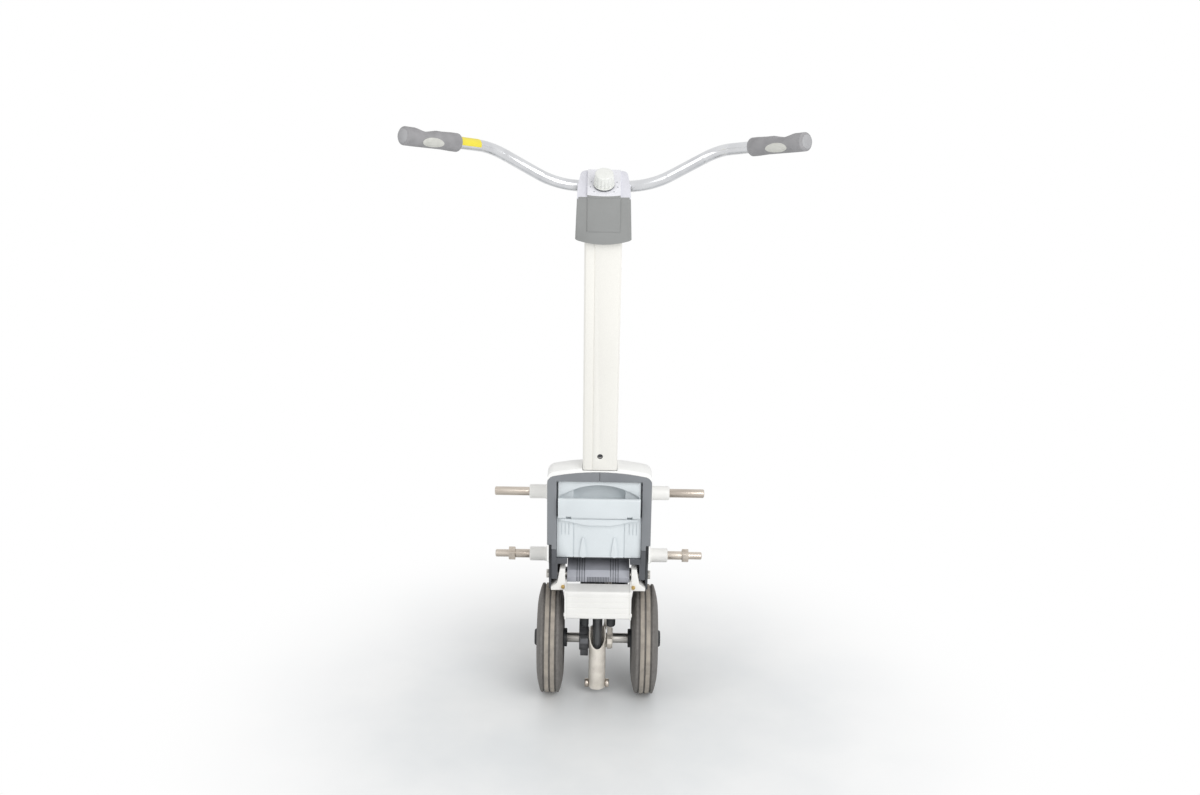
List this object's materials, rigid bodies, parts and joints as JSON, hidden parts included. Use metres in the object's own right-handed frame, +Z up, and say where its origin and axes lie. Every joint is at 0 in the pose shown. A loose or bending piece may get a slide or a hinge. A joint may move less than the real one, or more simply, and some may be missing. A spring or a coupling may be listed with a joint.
{
  "type": "wheelchair power assist",
  "caption": "Push-behind wheelchair drive: housing with pull-out battery, sprung twin drive wheels, mounting rods, and a leaning mast with control head and swept handlebar.",
  "frame": {"origin": "middle of the lower mounting rods' axis", "axes": "+X to the attendant's right, +Y forward, +Z up"},
  "size_m": [0.6024, 0.4663, 1.0787],
  "materials": {
    "white_shell": "satin",
    "bezel_grey": "satin",
    "battery_pale": "satin",
    "white_metal": "satin",
    "dark_metal": "satin",
    "mast_paint": "satin",
    "steel": "brushed",
    "cast_light": "satin",
    "bar_silver": "satin",
    "grip_rubber": "matte",
    "tyre_rubber": "matte",
    "dark_plastic": "matte",
    "head_grey": "satin",
    "plate_pale": "satin",
    "knob_pale": "gloss",
    "pedal_grey": "matte",
    "brass": "satin",
    "board_green": "matte",
    "marker_yellow": "gloss",
    "soft_rubber": "matte"
  },
  "bodies": {
    "frame": {"side_plates": "dark_metal", "mast_post": "steel", "post_guide": "dark_plastic", "top_cover": "white_shell", "left_bezel": "bezel_grey", "right_bezel": "bezel_grey", "side_panels": "white_shell", "front_panel": "white_shell", "battery_sill": "bezel_grey", "battery_tray": "dark_metal", "battery_socket": "dark_plastic", "rod_sleeves": "white_metal", "mount_rods": "steel", "rod_collars": "steel", "cross_shaft": "steel", "pivot_shaft": "steel", "controller_box": "white_metal", "controller_end_plates": "white_metal", "side_brackets": "white_metal", "bump_stops": "soft_rubber", "frame_screws": "brass"},
    "mast": {"mast_tube": "mast_paint", "mast_guide": "dark_plastic", "lock_screw": "dark_metal", "head_shell": "head_grey", "head_cover": "head_grey", "control_plate": "plate_pale", "bar_clamp": "bar_silver", "handlebar": "bar_silver", "left_grip": "grip_rubber", "right_grip": "grip_rubber", "grip_inlays": "plate_pale", "marker_band": "marker_yellow", "control_board": "board_green"},
    "knob": {"speed_knob": "knob_pale"},
    "battery": {"battery_case": "battery_pale", "battery_front": "battery_pale", "battery_blocks": "dark_plastic", "battery_contacts": "brass"},
    "battery_grip": {"battery_handle": "battery_pale"},
    "swing_arm": {"belt_case": "dark_metal", "belt_case_cover": "dark_metal", "right_arm": "cast_light", "pivot_tube": "dark_metal", "pivot_bushes": "brass", "drive_motor": "dark_metal", "drive_belt": "soft_rubber", "axle_bearings": "steel", "spring_tube": "cast_light", "spring_bolt": "steel"},
    "axle": {"drive_axle": "steel", "wheel_hubs": "dark_plastic", "tyres": "tyre_rubber", "hub_caps": "dark_plastic", "driven_pulley": "steel"},
    "motor_shaft": {"drive_pulley": "steel"},
    "pedal": {"foot_pedal": "pedal_grey"},
    "link": {"lift_link": "steel"},
    "spring_body": {"gas_spring": "dark_metal"},
    "spring_rod": {"gas_rod": "steel"}
  },
  "joints": [
    {"name": "arm_lift", "type": "hinge", "parent": "frame", "child": "swing_arm", "pos_m": [0, 0.055, -0.067], "axis": [-1, 0, 0], "range_deg": [0, 6.2]},
    {"name": "pedal_press", "type": "hinge", "parent": "frame", "child": "pedal", "pos_m": [0, -0.101, 0.008], "axis": [1, 0, 0], "range_deg": [0, 26]},
    {"name": "link_swing", "type": "hinge", "parent": "pedal", "child": "link", "pos_m": [0, -0.06988, 0.00053], "axis": [1, 0, 0], "range_deg": [-28.5, 0]},
    {"name": "spring_swing", "type": "hinge", "parent": "frame", "child": "spring_body", "pos_m": [0, -0.101, 0.008], "axis": [-1, 0, 0], "range_deg": [0, 4.4]},
    {"name": "spring_stroke", "type": "slide", "parent": "spring_body", "child": "spring_rod", "axis": [0, 0.0182, 0.9998], "range_m": [0, 0.0175]},
    {"name": "axle_spin", "type": "hinge", "parent": "swing_arm", "child": "axle", "pos_m": [0, -0.08, -0.132], "axis": [1, 0, 0], "continuous": true},
    {"name": "motor_spin", "type": "hinge", "parent": "swing_arm", "child": "motor_shaft", "pos_m": [0, 0.005, -0.082], "axis": [1, 0, 0], "continuous": true},
    {"name": "mast_height", "type": "slide", "parent": "frame", "child": "mast", "axis": [0, -0.2079, 0.9781], "range_m": [0, 0.12]},
    {"name": "speed_knob_turn", "type": "hinge", "parent": "mast", "child": "knob", "pos_m": [0, -0.22573, 0.73499], "axis": [0, -0.4848, 0.8746], "range_deg": [0, 270]},
    {"name": "battery_slide", "type": "slide", "parent": "frame", "child": "battery", "axis": [0, -1, 0], "range_m": [0, 0.2]},
    {"name": "battery_handle_swing", "type": "hinge", "parent": "battery", "child": "battery_grip", "pos_m": [0, -0.125, 0.134], "axis": [1, 0, 0], "range_deg": [0, 60]}
  ],
  "couplings": [
    {"joint": "pedal_press", "follows": "arm_lift", "ratio": 4.15},
    {"joint": "link_swing", "follows": "arm_lift", "ratio": -4.52},
    {"joint": "spring_swing", "follows": "arm_lift", "ratio": 0.684},
    {"joint": "spring_stroke", "follows": "arm_lift", "m_per_rad": 0.159},
    {"joint": "motor_spin", "follows": "axle_spin", "ratio": 1}
  ]
}
